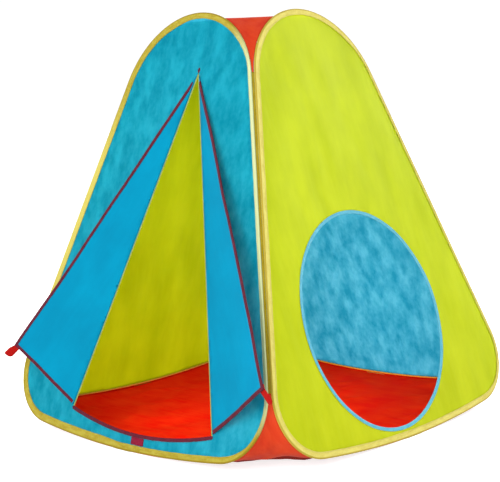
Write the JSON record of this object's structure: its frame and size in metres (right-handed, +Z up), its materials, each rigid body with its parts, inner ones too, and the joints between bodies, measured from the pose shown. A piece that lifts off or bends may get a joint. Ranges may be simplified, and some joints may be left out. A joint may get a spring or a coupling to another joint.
{
  "type": "pop-up play tent",
  "caption": "Child's pop-up play tent: leaning walls edged by sleeved spring-wire loops, a door with tie-back flaps, a round crawl hole, sewn-in groundsheet and roof",
  "frame": {"origin": "middle of the groundsheet's underside, on the ground", "axes": "+Z up; the wall with the door faces -Y, the wall with the crawl hole faces +X; the tent is 0.856 m square on the ground"},
  "size_m": [0.871, 0.8719, 0.896],
  "materials": {
    "blue_cloth": "thin woven polyester, matt",
    "lime_cloth": "thin woven polyester, matt",
    "red_cloth": "coated polyester, slight sheen",
    "yellow_sleeve": "folded woven tape",
    "red_binding": "folded woven tape",
    "red_tape": "hook-and-loop tape",
    "pale_blue_binding": "folded woven tape",
    "spring_steel": "bare spring wire"
  },
  "bodies": {
    "back_wall": {"back_wall_cloth": "blue_cloth", "back_sleeve": "yellow_sleeve", "back_wire_loop": "spring_steel", "back_ferrule": "spring_steel", "floor_cloth": "red_cloth", "roof_cloth": "red_cloth", "back_right_seam_tape": "yellow_sleeve", "back_left_seam_tape": "yellow_sleeve"},
    "left_wall": {"left_wall_cloth": "lime_cloth", "left_sleeve": "yellow_sleeve", "left_wire_loop": "spring_steel", "left_ferrule": "spring_steel", "front_left_seam_tape": "yellow_sleeve"},
    "right_wall": {"right_wall_cloth": "lime_cloth", "right_sleeve": "yellow_sleeve", "right_wire_loop": "spring_steel", "right_ferrule": "spring_steel", "crawl_hole_binding": "pale_blue_binding"},
    "front_wall": {"front_wall_cloth": "blue_cloth", "front_sleeve": "yellow_sleeve", "front_wire_loop": "spring_steel", "front_ferrule": "spring_steel", "door_sill_binding": "red_binding", "door_sill_tab": "red_tape", "front_right_seam_tape": "yellow_sleeve"},
    "left_flap": {"left_door_flap": "blue_cloth", "left_flap_binding": "red_binding", "left_flap_tab": "red_tape"},
    "right_flap": {"right_door_flap": "blue_cloth", "right_flap_binding": "red_binding", "right_flap_tab": "red_tape"}
  },
  "joints": [
    {"name": "left_wall_fold", "type": "hinge", "parent": "back_wall", "child": "left_wall", "pos_m": [-0.42201, 0.42201, 0.00127], "axis": [-0.2806, 0.2806, -0.9179], "range_deg": [0, 83.5], "deforming": ["floor_cloth", "roof_cloth", "front_right_seam_tape", "back_right_seam_tape", "back_left_seam_tape", "front_left_seam_tape"]},
    {"name": "right_wall_fold", "type": "hinge", "parent": "back_wall", "child": "right_wall", "pos_m": [0.42201, 0.42201, 0.00127], "axis": [0.2806, 0.2806, -0.9179], "range_deg": [0, 85.17]},
    {"name": "front_wall_fold", "type": "hinge", "parent": "left_wall", "child": "front_wall", "pos_m": [-0.42201, -0.42201, 0.00127], "axis": [0.2806, 0.2806, 0.9179], "range_deg": [0, 85.17]},
    {"name": "left_flap_swing", "type": "hinge", "parent": "front_wall", "child": "left_flap", "pos_m": [-0.1802, -0.40734, 0.06463], "axis": [-0.2803, -0.2807, -0.918], "range_deg": [-168, 7]},
    {"name": "right_flap_swing", "type": "hinge", "parent": "front_wall", "child": "right_flap", "pos_m": [0.2499, -0.40734, 0.06463], "axis": [-0.2803, 0.2807, 0.918], "range_deg": [-163, 12]}
  ],
  "couplings": [
    {"joint": "right_wall_fold", "follows": "left_wall_fold", "ratio": 1.02},
    {"joint": "front_wall_fold", "follows": "left_wall_fold", "ratio": 1.02}
  ]
}
